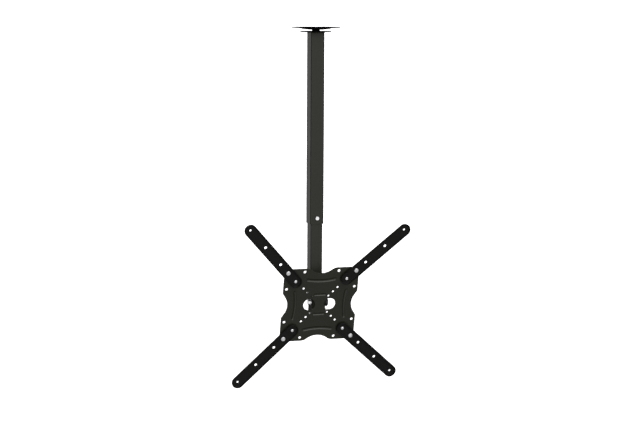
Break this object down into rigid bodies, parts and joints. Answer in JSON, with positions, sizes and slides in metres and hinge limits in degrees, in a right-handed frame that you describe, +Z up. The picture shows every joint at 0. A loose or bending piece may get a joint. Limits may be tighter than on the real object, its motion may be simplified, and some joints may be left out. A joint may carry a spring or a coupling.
{
  "type": "tv ceiling mount",
  "caption": "Telescopic square-tube ceiling mount for a television: swivelling pole, clamp-screw height slide, tilting screen plate and swing arms with screw holes.",
  "frame": {"origin": "centre of the ceiling plate's top face, in the middle of its four screw holes", "axes": "+Z up into the ceiling, the television side faces -Y, +X to the right of someone facing it"},
  "size_m": [0.4913, 0.1675, 1.0146],
  "materials": {
    "black_coat": "satin black powder coat",
    "zinc": "bright zinc plate",
    "nylon": "matt black nylon"
  },
  "bodies": {
    "ceiling": {"ceiling_plate": "black_coat", "swivel_bolt": "zinc", "swivel_spacer": "black_coat", "swivel_washer": "zinc", "swivel_nut": "zinc"},
    "pole": {"pole_flange": "black_coat", "outer_tube": "black_coat", "lock_screw": "zinc"},
    "drop": {"inner_tube": "black_coat", "head_bracket": "black_coat"},
    "screen_plate": {"tv_plate": "black_coat", "tilt_bracket": "black_coat", "friction_washers": "nylon", "tilt_bolt": "zinc", "tilt_spring_washer": "zinc", "tilt_washers": "zinc", "tilt_knob": "nylon", "arm_bolts": "zinc", "arm_washers": "zinc", "arm_nuts": "zinc"},
    "arm_top_left": {"arm_top_left": "black_coat", "guide_bolt_top_left": "zinc", "guide_washer_top_left": "zinc", "guide_nut_top_left": "zinc"},
    "arm_top_right": {"arm_top_right": "black_coat", "guide_bolt_top_right": "zinc", "guide_washer_top_right": "zinc", "guide_nut_top_right": "zinc"},
    "arm_bottom_left": {"arm_bottom_left": "black_coat", "guide_bolt_bottom_left": "zinc", "guide_washer_bottom_left": "zinc", "guide_nut_bottom_left": "zinc"},
    "arm_bottom_right": {"arm_bottom_right": "black_coat", "guide_bolt_bottom_right": "zinc", "guide_washer_bottom_right": "zinc", "guide_nut_bottom_right": "zinc"}
  },
  "joints": [
    {"name": "swivel", "type": "hinge", "parent": "ceiling", "child": "pole", "pos_m": [0, 0, 0], "axis": [0, 0, 1], "continuous": true},
    {"name": "height", "type": "slide", "parent": "pole", "child": "drop", "axis": [0, 0, -1], "range_m": [-0.16, 0.22]},
    {"name": "tilt", "type": "hinge", "parent": "drop", "child": "screen_plate", "pos_m": [0, -0.0283, -0.7721], "axis": [1, 0, 0], "range_deg": [-18.8, 1.2]},
    {"name": "top_left_swing", "type": "hinge", "parent": "screen_plate", "child": "arm_top_left", "pos_m": [-0.1, -0.06988, -0.67934], "axis": [0, -0.9711, -0.2385], "range_deg": [-11.9, 18.1]},
    {"name": "top_right_swing", "type": "hinge", "parent": "screen_plate", "child": "arm_top_right", "pos_m": [0.1, -0.06988, -0.67934], "axis": [0, -0.9711, -0.2385], "range_deg": [-11.8, 18.2]},
    {"name": "bottom_left_swing", "type": "hinge", "parent": "screen_plate", "child": "arm_bottom_left", "pos_m": [-0.1, -0.02217, -0.87357], "axis": [0, -0.9711, -0.2385], "range_deg": [-15.4, 14.6]},
    {"name": "bottom_right_swing", "type": "hinge", "parent": "screen_plate", "child": "arm_bottom_right", "pos_m": [0.1, -0.02217, -0.87357], "axis": [0, -0.9711, -0.2385], "range_deg": [-17.8, 12.2]}
  ]
}
